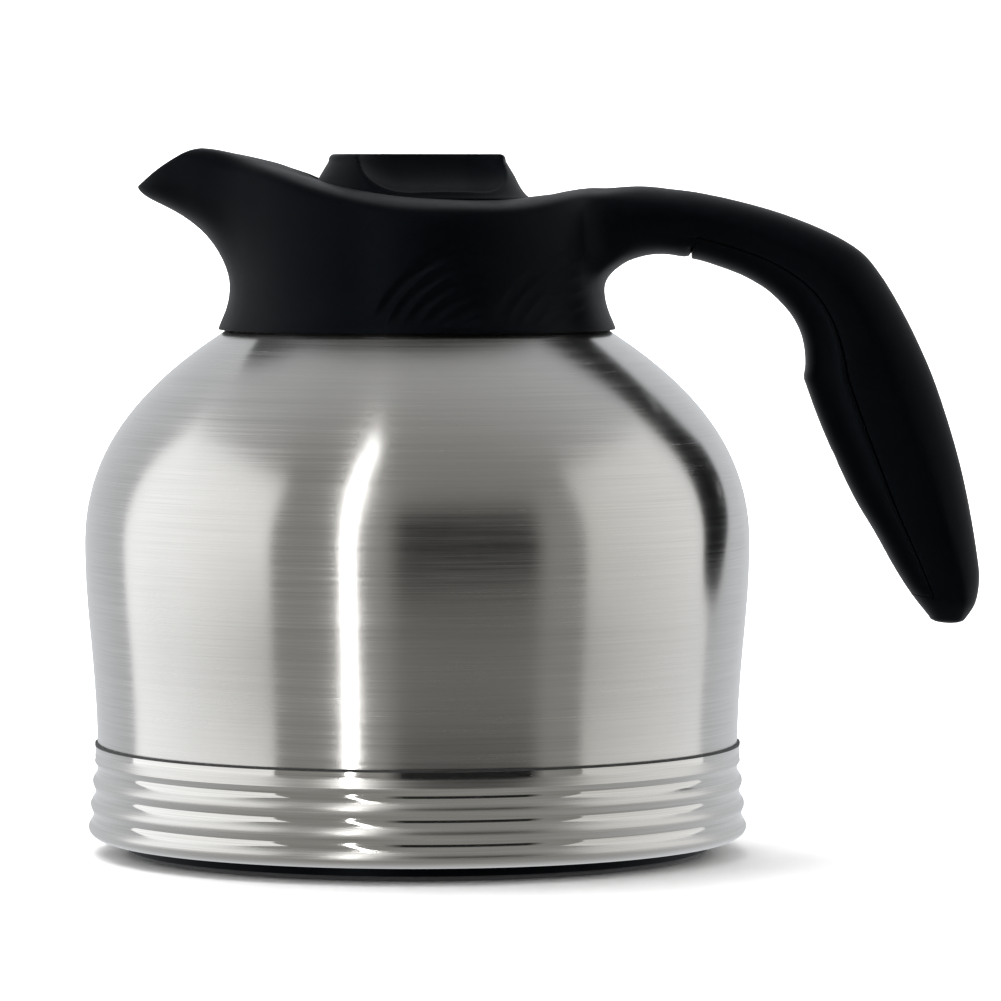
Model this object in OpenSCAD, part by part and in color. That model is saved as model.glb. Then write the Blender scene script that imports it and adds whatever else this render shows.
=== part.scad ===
// Insulated steel pouring jug. A double-walled steel flask stands in a ridged base band. A moulded
// collar with a spout and an open-ended handle is screwed on its neck, and a stopper with a twist knob
// closes it. A quarter turn of the knob pushes the pouring valve open.
// The origin is the centre of the foot on the table, +Z is up, and the spout points along -X.

/* [Body] */
// Largest radius of the steel body
body_r = 87.6; // [86:0.1:90]
// Height of the widest part of the body
belly_z = 81.9; // [76:0.1:86]
// Radius of the body where it enters the base band
seam_r = 84.4; // [83.8:0.1:84.6]
// Height of the seam between the body and the base band
seam_z = 29; // [28.8:0.1:29.4]
// Thickness of the outer steel wall
shell_t = 0.8; // [0.6:0.1:1]
// Thickness of the inner steel wall
flask_t = 0.7; // [0.6:0.1:0.8]
// Width of the vacuum space at the belly
vacuum_gap = 5.2; // [4:0.1:6]

/* [Neck] */
// Outer radius of the steel neck
neck_r = 38; // [37.8:0.1:38.2]
// Height of the top of the steel neck
mouth_z = 156; // [155:0.1:156.4]

/* [Base] */
// Lower edge of the steel base band
band_z = 4; // [3.8:0.1:4.2]
// Outer radius of the black base
base_r = 77; // [76.6:0.1:78]
// Height of one ridge of the base band
ridge_pitch = 6.05; // [5.9:0.05:6.2]
// How far a ridge stands out from the middle of the wave
ridge_h = 0.5; // [0.2:0.05:0.7]

/* [Collar] */
// Radius of the collar's lower edge
collar_edge_r = 52.2; // [51.8:0.1:52.6]
// Radius of the collar's waist
collar_waist_r = 49.5; // [49.2:0.1:50]
// Radius of the opening that the stopper sits in
well_r = 33.3; // [33.2:0.1:33.6]
// Wall thickness of the black mouldings
wall_t = 2.4; // [2.2:0.1:2.6]

/* [Handle] */
// Part of the handle's depth that belongs to the inner cover
cover_part = 0.32; // [0.28:0.01:0.36]
// Width of the gap along the handle's parting line
parting_gap = 0.15; // [0.1:0.05:0.3]

/* [Stopper and knob] */
// Top radius of the knob
knob_top_r = 23.4; // [23:0.1:23.8]
// Height of the top of the knob
knob_top_z = 184; // [183:0.1:184.6]
// Radius of the stopper's valve port
port_r = 12; // [11:0.1:12.5]
// Travel of the pouring valve
valve_travel = 4; // [3:0.1:4]

/* [Hidden] */
$fn = 96;

steel = "silver";
polished = "gainsboro";
black = "#16191d";
rubber = "#2c2e30";
silicone = "whitesmoke";

// One point of a cubic curve, and the curve itself without its last point.
function cubic(p, t) = pow(1 - t, 3) * p[0] + 3 * pow(1 - t, 2) * t * p[1]
    + 3 * (1 - t) * t * t * p[2] + t * t * t * p[3];
function curve(p, n) = [for (i = [0:n - 1]) cubic(p, i / n)];

// A profile moved sideways by d, to its left as it runs.
function unit(v) = v / norm(v);
function side(v) = [-v[1], v[0]];
function offset_path(p, d) = [
    for (i = [0:len(p) - 1])
        let (a = p[max(i - 1, 0)], b = p[min(i + 1, len(p) - 1)])
            p[i] + d * side(unit(b - a))
];
function reversed(p) = [for (i = [len(p) - 1:-1:0]) p[i]];

// Outer face of the body, from the top of the neck down to the bottom of the vessel.
neck_foot_z = 149;
collar_foot = [49.3, 138.4];
vessel_z = 24.6;
function body_profile() = concat(
    [[neck_r, mouth_z]],
    curve([[neck_r, neck_foot_z], [neck_r, 143], [43, 142.4], collar_foot], 6),
    curve([collar_foot, [75.6, 121.8], [body_r, belly_z + 22], [body_r, belly_z]], 20),
    curve([[body_r, belly_z], [body_r, belly_z - 18], [seam_r + 0.3, 50], [seam_r, seam_z]], 12),
    [[seam_r, seam_z], [seam_r, vessel_z]]
);

// Outer face of the inner flask, from the mouth down to the middle of its floor.
flask_r = body_r - shell_t - vacuum_gap;
flask_neck_r = neck_r - shell_t - 0.9;
flask_floor_z = 31;
flask_corner = 14;
function flask_profile() = concat(
    [[flask_neck_r, mouth_z]],
    curve([[flask_neck_r, 147], [flask_neck_r, 139], [41, 137.2], [47, 132.6]], 6),
    curve([[47, 132.6], [70.5, 117], [flask_r, 101], [flask_r, belly_z]], 20),
    curve([[flask_r, belly_z], [flask_r, 66], [79.2, 58], [79, flask_floor_z + flask_corner]], 8),
    [for (a = [0:15:90]) [79 - flask_corner + flask_corner * cos(a),
                          flask_floor_z + flask_corner - flask_corner * sin(a)]],
    [[0, flask_floor_z + 1.5]]
);

// A solid through rings of points, each ring with the same number of points.
module loft(rings) {
    n = len(rings[0]);
    last = n * (len(rings) - 1);
    sides = [for (i = [0:len(rings) - 2], k = [0:n - 1])
        let (a = n * i + k, b = n * i + (k + 1) % n) each [[a, b, b + n], [a, b + n, a + n]]];
    start_cap = [[for (k = [n - 1:-1:0]) k]];
    end_cap = [[for (k = [0:n - 1]) last + k]];
    polyhedron(points = [for (r = rings) each r], faces = concat(start_cap, sides, end_cap));
}

module ring(inner, outer, z0, z1) {
    rotate_extrude()
        polygon([[inner, z0], [outer, z0], [outer, z1], [inner, z1]]);
}

// ---- Steel vessel ----

module outer_shell() {
    face = body_profile();
    color(steel)
        rotate_extrude()
            polygon(concat(face, reversed(offset_path(face, -shell_t))));
}

module inner_flask() {
    face = flask_profile();
    inside = offset_path(face, -flask_t);
    last = len(face) - 1;
    color(polished)
        rotate_extrude()
            polygon(concat(face, [[0, inside[last][1]]],
                [for (i = [last - 1:-1:0]) inside[i]]));
}

module mouth_ring() {
    color(polished)
        rotate_extrude()
            polygon([[flask_neck_r - flask_t, mouth_z], [neck_r, mouth_z],
                [neck_r, mouth_z + 0.6], [neck_r - 0.6, mouth_z + 1],
                [flask_neck_r - flask_t + 0.4, mouth_z + 1], [flask_neck_r - flask_t, mouth_z + 0.6]]);
}

dish_r = seam_r - shell_t;
dish_t = 0.8;
pump_hole_r = 2.5;
module vacuum_bottom() {
    color(steel)
        rotate_extrude()
            polygon([[pump_hole_r, 24], [26, 24], [34, 22.4], [76, 22.4], [80, 27], [dish_r, 27],
                [dish_r, vessel_z], [dish_r - dish_t, vessel_z], [dish_r - dish_t, 26.2], [80.4, 26.2],
                [76.4, 21.6], [33.8, 21.6], [25.8, 23.2], [pump_hole_r, 23.2]]);
}

module getter() {
    color("dimgray")
        translate([18, 0, 24])
            rotate_extrude()
                polygon([[0, 0], [6, 0], [6, 2.2], [5.2, 3], [0, 3]]);
}

module evacuation_cap() {
    color(polished)
        rotate_extrude()
            polygon([[0, 23.2], [7, 23.2], [7, 22.4], [5, 21.4], [0, 21.4]]);
}

// ---- Base ----

module seam_ring() {
    color(black)
        ring(seam_r + 0.05, seam_r + 0.7, seam_z - 0.4, seam_z + 0.2);
}

// The band's outer face: a flat top rib, a wave of ridges that widens downwards, and a rolled edge.
rib_z = 7.2;
wave_r = 86.35;
wave_slope = 0.095;
wave_top_z = 23.4;
function wave(z) = wave_r - wave_slope * (z - rib_z) + ridge_h * cos(360 * (z - rib_z) / ridge_pitch);
function band_profile() = concat(
    [[seam_r + 0.6, seam_z - 0.4], [seam_r + 0.6, 24.4]],
    [for (z = [wave_top_z:-0.9:rib_z]) [wave(z), z]],
    curve([[wave(rib_z), rib_z - 0.1], [86.8, 5.6], [85.4, band_z], [82, band_z]], 6),
    [[82, band_z], [74, band_z]]
);

band_t = 0.5;
module base_band() {
    face = band_profile();
    color(steel)
        rotate_extrude()
            polygon(concat(face, reversed(offset_path(face, -band_t))));
}

// The foot ring sits in a groove under the base plate.
foot_in_r = 64;
foot_out_r = base_r - 1.5;
groove_z = 3;
base_lip_z = 1.5;
boss_orbit = 50;
module on_bosses() {
    for (a = [90, 210, 330])
        rotate([0, 0, a])
            translate([boss_orbit, 0, 0])
                children();
}

module base_plate() {
    color(black)
        difference() {
            rotate_extrude()
                polygon([[0, 5], [62, 5], [62, base_lip_z], [foot_in_r, base_lip_z],
                    [foot_in_r, groove_z], [foot_out_r, groove_z], [foot_out_r, base_lip_z],
                    [base_r, base_lip_z], [base_r, band_z - 0.05], [73.6, band_z - 0.05],
                    [73.6, 7.5], [0, 7.5]]);
            on_bosses() {
                translate([0, 0, 4])
                    cylinder(r = 2.2, h = 5);
                translate([0, 0, 4])
                    cylinder(r = 4.2, h = 2);
            }
        }
}

module foot_ring() {
    color(rubber)
        rotate_extrude()
            polygon([[foot_in_r + 0.1, 1], [foot_in_r + 1, 0], [foot_out_r - 1, 0], [foot_out_r - 0.1, 1],
                [foot_out_r - 0.1, groove_z - 0.05], [foot_in_r + 0.1, groove_z - 0.05]]);
}

boss_hole_r = 1.65;
module base_bosses() {
    color(steel)
        on_bosses()
            difference() {
                translate([0, 0, 7.6])
                    cylinder(r = 4, h = 14);
                translate([0, 0, 7])
                    cylinder(r = boss_hole_r, h = 11);
            }
}

module base_screws() {
    color(polished)
        on_bosses()
            difference() {
                union() {
                    translate([0, 0, 4.2])
                        cylinder(r = 3.6, h = 1.75);
                    translate([0, 0, 5.9])
                        cylinder(r = 1.6, h = 10);
                }
                for (turn = [0, 90])
                    rotate([0, 0, turn])
                        translate([-2, -0.4, 4])
                            cube([4, 0.8, 1.1]);
            }
}

// ---- Neck ----

thread_pitch = 3;
module neck_ring() {
    color(steel)
        rotate_extrude()
            polygon(concat([[neck_r + 0.02, 155.4], [neck_r + 0.02, 149.4], [40.2, 149.4]],
                [for (i = [0:1]) each [[40.2, 150 + i * thread_pitch], [41, 150.6 + i * thread_pitch],
                    [41, 151.4 + i * thread_pitch], [40.2, 152 + i * thread_pitch]]],
                [[40.2, 155.4]]));
}

gasket_z = mouth_z + 1;
module neck_gasket() {
    color(silicone)
        rotate_extrude()
            polygon([[well_r + 0.6, gasket_z + 0.02], [neck_r, gasket_z + 0.02],
                [neck_r, gasket_z + 1.8], [well_r + 0.6, gasket_z + 1.8]]);
}

// The well that the stopper sits in: a skirt that screws on the neck ring, a floor, and a wall with a
// pouring window towards the spout.
insert_floor_z = gasket_z + 1.85;
insert_top_z = 168.4;
insert_r = well_r + wall_t;
window_w = 30;
window_z = 162.6;
module neck_insert() {
    color(black)
        difference() {
            rotate_extrude()
                polygon([[well_r, insert_floor_z], [41.3, insert_floor_z], [41.3, 148.6],
                    [43.4, 148.6], [43.4, 161.2], [insert_r, 161.2], [insert_r, insert_top_z],
                    [well_r, insert_top_z]]);
            translate([-50, -window_w / 2, window_z])
                cube([40, window_w, insert_top_z]);
        }
}

// ---- Collar, spout and handle ----

// Height of the collar's rim along the jug, [x, z], from beyond the mouth to the handle.
rim = [
    [-90, 192], [-58, 192], [-53, 185.7], [-42.7, 183.4], [-27.3, 179.4], [-19, 176.9],
    [-11.4, 174.9], [-3, 173.3], [6, 172.2], [21.7, 171.5], [30, 172], [60, 172.6]
];
rim_fall = 3.4;

// A rounded outline, w wide and h high, centred on the origin. A lower power is squarer.
function rounding(x, power) = sign(x) * pow(abs(x), power);
function rounded(w, h, power, n = 28) = [
    for (i = [0:n - 1]) [w / 2 * rounding(cos(360 * i / n), power), h / 2 * rounding(sin(360 * i / n), power)]
];

// Hulls between neighbouring slices. The child draws the slice that $slice names.
skin = 0.1;
module chain(count) {
    for (i = [0:count - 2])
        hull()
            for (k = [i, i + 1])
                let ($slice = k)
                    children();
}

// A rounded section across the jug, and a solid through a list of them.
function cross_section(s) = [
    for (p = rounded(s[3], s[2] - s[1], s[4])) [s[0], p[0], (s[1] + s[2]) / 2 + p[1]]
];
module cross_loft(stations) {
    loft([for (s = stations) cross_section(s)]);
}

// Spout stations: [x, underside z, top z, width, squareness]. The last ones follow the slanted mouth.
spout = [
    [-30, 150.2, 180, 76, 0.5], [-40, 150.4, 182.6, 70, 0.5],
    [-48, 150.6, 184.6, 60, 0.55], [-51.4, 156.4, 185.4, 53, 0.62], [-55.1, 161.7, 185.8, 46, 0.7],
    [-59.6, 165.9, 185.8, 38, 0.75], [-64.7, 169.4, 184.3, 29, 0.8], [-69.4, 171.6, 181, 20, 0.8],
    [-72.4, 172.8, 178.4, 12.5, 0.8], [-74.1, 174.2, 176.4, 5, 0.8]
];

// Channel stations, the same way, from the pouring window up. The last ones lie beyond the mouth.
channel = [
    [-30, 163.2, 168.3, 27, 0.75], [-36.5, 163.4, 169.4, 28, 0.75], [-41, 163.8, 174.4, 31, 0.75],
    [-46, 164.2, 179.6, 33, 0.75], [-51, 165.2, 182.6, 33, 0.75],
    [-57, 168, 183.4, 30, 0.75], [-62, 170.8, 186.4, 25, 0.75], [-68, 173.6, 188, 18.5, 0.75],
    [-76, 175.4, 192, 13, 0.75]
];

// Everything under the rim: flat over the opening, and falling towards the sides.
module rim_slice(station) {
    edge_z = station[1] - rim_fall;
    low_z = edge_z - 2;
    translate([station[0], 0, 0])
        rotate([90, 0, 90])
            linear_extrude(skin)
                polygon([[-60, 130], [60, 130], [60, low_z], [48, edge_z], [well_r - 6, station[1]],
                    [6 - well_r, station[1]], [-48, edge_z], [-60, low_z]]);
}

collar_foot_z = 138.4;
module collar_outside() {
    rotate_extrude()
        polygon([[0, collar_foot_z], [collar_edge_r, collar_foot_z], [50.4, 142.6],
            [collar_waist_r + 0.1, 146.6], [collar_waist_r, 152], [collar_waist_r, 160],
            [collar_waist_r - 0.3, 166], [collar_waist_r - 2, 190], [0, 190]]);
}

module collar_inside() {
    rotate_extrude()
        polygon([[0, collar_foot_z - 1], [collar_edge_r - wall_t + 0.8, collar_foot_z - 1],
            [50.4 - wall_t, 142.6], [collar_waist_r - wall_t, 146.6], [collar_waist_r - wall_t, 161.6],
            [insert_r + 0.1, 161.6], [insert_r + 0.1, insert_top_z + 0.1], [0, insert_top_z + 0.1]]);
    cylinder(r = well_r, h = 200);
}

// Handle stations: [outer x, outer z, inner x, inner z, width]. Each pair spans the handle's depth.
handle = [
    [30, 172.3, 30, 164, 54], [46, 174.6, 47.6, 150.8, 42], [56.7, 175.1, 54.6, 155.6, 37],
    [64.5, 174.9, 62.8, 157.6, 34], [73.9, 173.9, 72.4, 156.4, 31], [85.5, 171.4, 79.3, 154.4, 29],
    [96.8, 168.1, 86.2, 151.7, 28], [108.4, 163.4, 92.1, 148.1, 28], [116.8, 158.3, 96.6, 143.9, 28],
    [121.9, 152.3, 99.6, 139.8, 28], [126.5, 144.9, 101.5, 135.1, 28], [131.3, 135.6, 102.2, 129.4, 28],
    [135.9, 125.1, 101.7, 125.1, 28], [140, 113, 105.6, 114.4, 28], [143.3, 101.3, 110, 104.2, 28],
    [145.8, 89.5, 115.3, 93.2, 27.5], [147.6, 78.6, 120.8, 84, 26.5], [148.2, 72, 125.6, 75.4, 25],
    [147.2, 65.8, 130.2, 68.2, 22], [144.6, 61.6, 135, 62.1, 15]
];
cover_first = 4;
cover_last = 18;
handle_power = 0.72;
handle_wall = 3;
arc_steps = 12;

// The point of a handle section at depth u, from 0 inside to 1 outside, and v to the side.
function handle_point(s, u, v) = [s[2] + (s[0] - s[2]) * u, v, s[3] + (s[1] - s[3]) * u];
function handle_depth(s) = norm([s[0] - s[2], s[1] - s[3]]);

// A point of the section's rounded outline, inset by t, at angle a from the inner edge.
function outline_point(s, a, t) =
    let (d = handle_depth(s))
        handle_point(s, 0.5 - (0.5 - t / d) * rounding(cos(a), handle_power),
            (t - s[4] / 2) * rounding(sin(a), handle_power));

// The angle at which that outline crosses the depth u.
function crossing(s, u, t) =
    let (d = handle_depth(s), c = (0.5 - u) / (0.5 - t / d)) acos(rounding(c, 1 / handle_power));

// Sections of the cover's wall, of the outer half's wall, and of the whole handle.
function arc(s, from, to, t) = [
    for (i = [0:arc_steps]) outline_point(s, from + (to - from) * i / arc_steps, t)
];
function half_start(s) = cover_part + parting_gap / handle_depth(s);
function cover_section(s) =
    let (a = crossing(s, cover_part, 0), b = crossing(s, cover_part, handle_wall))
        concat(arc(s, -a, a, 0), arc(s, b, -b, handle_wall));
function half_section(s) =
    let (a = crossing(s, half_start(s), 0), b = crossing(s, half_start(s), handle_wall))
        concat(arc(s, a, 360 - a, 0), arc(s, 360 - b, b, handle_wall));
function full_section(s) =
    let (a = crossing(s, half_start(s), 0), b = a - 4)
        concat(arc(s, a, 360 - a, 0), arc(s, 360 - b, 360 + b, 0));

// One solid from the root to the tip: whole at both ends, and open to the cover in between.
step = 0.02;
function between(i, t) = handle[i] + (handle[i + 1] - handle[i]) * t;
module handle_body() {
    loft(concat(
        [for (i = [0:cover_first]) full_section(handle[i])],
        [half_section(between(cover_first, step))],
        [for (i = [cover_first + 1:cover_last - 1]) half_section(handle[i])],
        [half_section(between(cover_last - 1, 1 - step))],
        [for (i = [cover_last:len(handle) - 1]) full_section(handle[i])]
    ));
}

// The screws enter the cover at these stations, square to its face.
screw_stations = [7, 14];
screw_reach = 0.95;
module on_handle_screws() {
    for (i = screw_stations) {
        s = handle[i];
        along = handle[i + 1] - handle[i - 1];
        $depth = screw_reach * handle_depth(s);
        translate([s[2], 0, s[3]])
            rotate([0, 90 - atan2(along[2], -along[3]), 0])
                children();
    }
}

module collar_handle() {
    color(black)
        difference() {
            union() {
                difference() {
                    union() {
                        intersection() {
                            union() {
                                collar_outside();
                                cross_loft(spout);
                            }
                            chain(len(rim))
                                rim_slice(rim[$slice]);
                        }
                        handle_body();
                    }
                    collar_inside();
                }
                handle_posts();
            }
            cross_loft(channel);
        }
}

// Two posts in the handle's outer half take the screws.
post_r = 3.6;
post_foot = 11;
module handle_posts() {
    on_handle_screws()
        difference() {
            translate([0, 0, post_foot])
                cylinder(r = post_r, h = $depth - handle_wall / 2 - post_foot);
            translate([0, 0, post_foot - 1])
                cylinder(r = 1.35, h = 10);
        }
}

module handle_cover() {
    color(black)
        difference() {
            loft([for (i = [cover_first:cover_last]) cover_section(handle[i])]);
            on_handle_screws() {
                cylinder(r = 1.7, h = 8, center = true);
                translate([0, 0, -2])
                    cylinder(r = 3.3, h = 3.4);
            }
        }
}

module handle_screws() {
    color(polished)
        on_handle_screws()
            difference() {
                union() {
                    translate([0, 0, 0.2])
                        cylinder(r = 3, h = 1.18);
                    translate([0, 0, 1.3])
                        cylinder(r = 1.3, h = 16);
                }
                translate([-2, -0.35, 0])
                    cube([4, 0.7, 0.8]);
            }
}

// ---- Stopper ----

stopper_r = well_r - 0.35;
stopper_bore_r = stopper_r - 2;
tube_r = 14;
tube_t = 1.8;
stopper_foot_z = 148.6;
foam_top_z = 159.8;
seal_z = 160.4;
deck_z = 169.4;
deck_top_z = 171.6;
guide_r = 3.1;
guide_out_r = 6.5;
guide_z = 149.4;
guide_h = 2.6;
screw_orbit = 26;

module on_deck_screws() {
    for (a = [0, 120, 240])
        rotate([0, 0, a])
            translate([screw_orbit, 0, 0])
                children();
}

// The wall and the flow tube hold a ring of foam. Above it a window faces the spout.
module stopper_body() {
    color(black)
        difference() {
            union() {
                rotate_extrude()
                    polygon([[tube_r, stopper_foot_z], [tube_r + tube_t, stopper_foot_z],
                        [tube_r + tube_t, foam_top_z], [stopper_bore_r, foam_top_z],
                        [stopper_bore_r, stopper_foot_z], [stopper_r - 0.6, stopper_foot_z],
                        [stopper_r - 0.6, seal_z], [stopper_r - 1.6, seal_z],
                        [stopper_r - 1.6, seal_z + 1.4], [stopper_r, seal_z + 1.4],
                        [stopper_r, deck_z - 0.02], [stopper_bore_r, deck_z - 0.02],
                        [stopper_bore_r, foam_top_z + 2], [tube_r, foam_top_z + 2]]);
                ring(guide_r, guide_out_r, guide_z, guide_z + guide_h);
                for (a = [60, 180, 300])
                    rotate([0, 0, a])
                        translate([guide_out_r - 0.5, -0.9, guide_z])
                            cube([tube_r - guide_out_r + 0.9, 1.8, guide_h]);
                on_deck_screws()
                    translate([0, 0, foam_top_z + 1.5])
                        cylinder(r = 3.2, h = deck_z - foam_top_z - 1.52);
            }
            on_deck_screws()
                translate([0, 0, foam_top_z + 3])
                    cylinder(r = 1.25, h = 10);
            translate([-40, -window_w / 2 + 1, window_z + 0.6])
                cube([20, window_w - 2, 5.6]);
        }
}

module stopper_floor() {
    color(black)
        rotate_extrude()
            polygon([[port_r, 146.6], [stopper_r - 1.4, 146.6], [stopper_r - 0.6, 147.4],
                [stopper_r - 0.6, stopper_foot_z - 0.02], [port_r, stopper_foot_z - 0.02]]);
}

module stopper_seal() {
    color(silicone)
        rotate_extrude()
            polygon([[stopper_r - 1.55, seal_z + 0.05], [stopper_r + 0.1, seal_z + 0.05],
                [stopper_r + 0.3, seal_z + 0.5], [stopper_r + 0.1, seal_z + 1.35],
                [stopper_r - 1.55, seal_z + 1.35]]);
}

module stopper_foam() {
    color("lightyellow")
        ring(tube_r + tube_t + 0.05, stopper_bore_r - 0.05, stopper_foot_z + 0.02, foam_top_z - 0.05);
}

spindle_r = 5;
module stopper_deck() {
    color(black)
        difference() {
            rotate_extrude()
                polygon([[spindle_r + 0.06, deck_z], [stopper_r, deck_z], [stopper_r, deck_top_z - 0.5],
                    [stopper_r - 0.5, deck_top_z], [spindle_r + 0.06, deck_top_z]]);
            on_deck_screws() {
                translate([0, 0, deck_z - 1])
                    cylinder(r = 1.6, h = 4);
                translate([0, 0, deck_top_z - 1.2])
                    cylinder(r = 2.8, h = 2);
            }
        }
}

module deck_screws() {
    color(polished)
        on_deck_screws() {
            translate([0, 0, deck_top_z - 1.15])
                cylinder(r = 2.6, h = 1);
            translate([0, 0, deck_top_z - 8])
                cylinder(r = 1.2, h = 7);
        }
}

// ---- Knob and cam ----

// The knob's side leans in to the top and flares out at its foot. Two scoops leave a bar to grip,
// with two pockets under it.
knob_foot_z = deck_top_z + 0.3;
knob_rest_angle = 18;
grip_half = 6;
scoop_half = 9;
scoop_r = 18;
scoop_depth = 15.6;
scoop_lift = 5.6;
module knob() {
    color(black)
        difference() {
            rotate_extrude()
                polygon(concat([[0, knob_foot_z], [30, knob_foot_z]],
                    curve([[30, knob_foot_z + 0.5], [28, 173.5], [26.7, 176], [25.8, 178]], 6),
                    [[25.8, 178], [knob_top_r + 0.4, knob_top_z - 1.8]],
                    [for (a = [0:30:90]) [knob_top_r - 1.1 + 1.5 * cos(a),
                        knob_top_z - 1.5 + 1.5 * sin(a)]],
                    [[0, knob_top_z]]));
            for (turn = [knob_rest_angle, knob_rest_angle + 180])
                rotate([0, 0, turn])
                    hull()
                        for (x = [-scoop_half, scoop_half])
                            translate([x, grip_half + scoop_r, knob_top_z + scoop_lift])
                                scale([1, 1, scoop_depth / scoop_r])
                                    sphere(r = scoop_r, $fn = 32);
            for (turn = [knob_rest_angle, knob_rest_angle + 180])
                rotate([0, 0, turn])
                    translate([8, -4.5, knob_foot_z - 1])
                        cube([11, 9, 8]);
            translate([-3.5, -3.5, knob_foot_z - 1])
                cube([7, 7, 7]);
        }
}

spindle_foot_z = 166.4;
module knob_spindle() {
    color("dimgray")
        difference() {
            union() {
                translate([-3.4, -3.4, knob_foot_z - 0.5])
                    cube([6.8, 6.8, 6.1]);
                translate([0, 0, spindle_foot_z])
                    cylinder(r = spindle_r, h = knob_foot_z - spindle_foot_z);
            }
            translate([0, 0, 165])
                cylinder(r = 1.25, h = 9);
        }
}

// The cam's underside goes down by the valve's travel over a quarter turn, in small steps, twice round.
cam_in_r = 3.2;
cam_out_r = 9;
cam_top_z = 166.35;
cam_rest_z = 164.8;
cam_start = 12;
cam_steps = 8;
cam_step_angle = 90 / cam_steps;
cam_end = -cam_start - 9 * cam_step_angle;
function sector(r0, r1, from, to) = concat(
    [for (a = [from:-cam_step_angle:to]) [r1 * cos(a), r1 * sin(a)]],
    [for (a = [to:cam_step_angle:from]) [r0 * cos(a), r0 * sin(a)]]
);
module cam_ramp() {
    for (i = [1:cam_steps]) {
        start = -cam_start - (i - 1) * cam_step_angle;
        drop = valve_travel * i / cam_steps;
        translate([0, 0, cam_rest_z - drop])
            linear_extrude(drop + 0.5)
                polygon(sector(cam_in_r, cam_out_r - 0.4, start, cam_end));
    }
}

module valve_cam() {
    color("ivory")
        difference() {
            union() {
                translate([0, 0, cam_rest_z])
                    cylinder(r = cam_out_r, h = cam_top_z - cam_rest_z);
                cam_ramp();
                rotate([0, 0, 180])
                    cam_ramp();
            }
            translate([0, 0, cam_rest_z - 1])
                cylinder(r = 1.6, h = 4);
        }
}

module spindle_screw() {
    color(polished) {
        translate([0, 0, cam_rest_z - 1.3])
            cylinder(r = 2.6, h = 1.28);
        translate([0, 0, cam_rest_z - 0.1])
            cylinder(r = 1.2, h = 8);
    }
}

// ---- Pouring valve ----

// The stem's head carries two pads that the cam presses on. It clears the screw above it.
stem_r = 3.04;
pad_z = 164.2;
module valve_stem() {
    color("ivory")
        difference() {
            union() {
                translate([0, 0, 143.2])
                    cylinder(r = stem_r, h = 16.4);
                translate([0, 0, 158.6])
                    cylinder(r = 8.6, h = 1);
                for (turn = [0, 180])
                    rotate([0, 0, turn])
                        translate([6, -1, 159])
                            cube([2.4, 2, pad_z - 159]);
            }
            translate([0, 0, 142])
                cylinder(r = 1, h = 8);
        }
}

module valve_disc() {
    color(black)
        rotate_extrude()
            polygon([[0, 141.4], [14, 141.4], [15.4, 142.4], [15.4, 143.15], [13.4, 143.15],
                [13.4, 144.2], [stem_r + 0.02, 144.2], [stem_r + 0.02, 143.15], [0, 143.15]]);
}

module valve_seal() {
    color(silicone)
        rotate_extrude()
            polygon([[13.45, 143.2], [15.4, 143.2], [15.4, 146.3], [14.6, 146.55], [13.45, 146.3]]);
}

// The spring stands on the guide and lifts the stem's head.
spring_r = 4.6;
spring_wire_r = 0.35;
spring_low_z = guide_z + guide_h + 0.4;
spring_high_z = 158.2;
spring_turns = 2.5;
module valve_spring() {
    turn_steps = 20;
    wire_sides = 6;
    count = spring_turns * turn_steps;
    color(polished)
        loft([for (i = [0:count])
            let (a = 360 * i / turn_steps, rise = (spring_high_z - spring_low_z) * i / count)
                [for (k = [0:wire_sides - 1])
                    let (b = 360 * k / wire_sides, r = spring_r + spring_wire_r * cos(b))
                        [r * cos(a), r * sin(a), spring_low_z + rise + spring_wire_r * sin(b)]]]);
}

outer_shell();
inner_flask();
mouth_ring();
vacuum_bottom();
getter();
evacuation_cap();
seam_ring();
base_band();
base_plate();
foot_ring();
base_bosses();
base_screws();
neck_ring();
neck_gasket();
neck_insert();
collar_handle();
handle_cover();
handle_screws();
stopper_body();
stopper_floor();
stopper_seal();
stopper_foam();
stopper_deck();
deck_screws();
knob();
knob_spindle();
valve_cam();
spindle_screw();
valve_stem();
valve_disc();
valve_seal();
valve_spring();
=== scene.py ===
import math

import bmesh
import bpy
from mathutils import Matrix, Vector


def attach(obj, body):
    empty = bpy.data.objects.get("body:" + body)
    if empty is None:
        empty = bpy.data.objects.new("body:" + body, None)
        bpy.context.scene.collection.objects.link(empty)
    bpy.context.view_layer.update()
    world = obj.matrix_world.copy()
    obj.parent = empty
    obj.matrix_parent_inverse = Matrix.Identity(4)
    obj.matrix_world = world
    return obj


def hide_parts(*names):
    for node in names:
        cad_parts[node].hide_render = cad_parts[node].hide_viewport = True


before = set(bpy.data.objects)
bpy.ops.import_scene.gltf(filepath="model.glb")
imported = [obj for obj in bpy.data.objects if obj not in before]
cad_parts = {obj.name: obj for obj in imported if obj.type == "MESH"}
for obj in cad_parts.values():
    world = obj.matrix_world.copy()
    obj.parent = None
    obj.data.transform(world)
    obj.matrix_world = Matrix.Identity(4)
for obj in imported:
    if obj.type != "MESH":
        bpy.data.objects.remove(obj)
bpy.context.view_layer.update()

# Lengths in the outlines below are millimetres, and Blender's are metres.
MM = 0.001
TURN = 2 * math.pi

# ---- The jug's driving sizes, as the CAD has them ----
NECK_R = 38
NECK_TOP = 156
SHELL_T = 0.8
BAND_T = 0.5
WELL_R = 35.9
RIB_Z = 7.2
RIDGE_PITCH = 6.05
RIDGE_H = 0.5
KNOB_TOP_Z = 184
KNOB_FOOT_Z = 171.9
KNOB_REST_ANGLE = math.radians(18)

# Points round a piece that is turned on the jug's axis.
TURNED_STEPS = 160


# ---- Outlines ----

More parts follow.
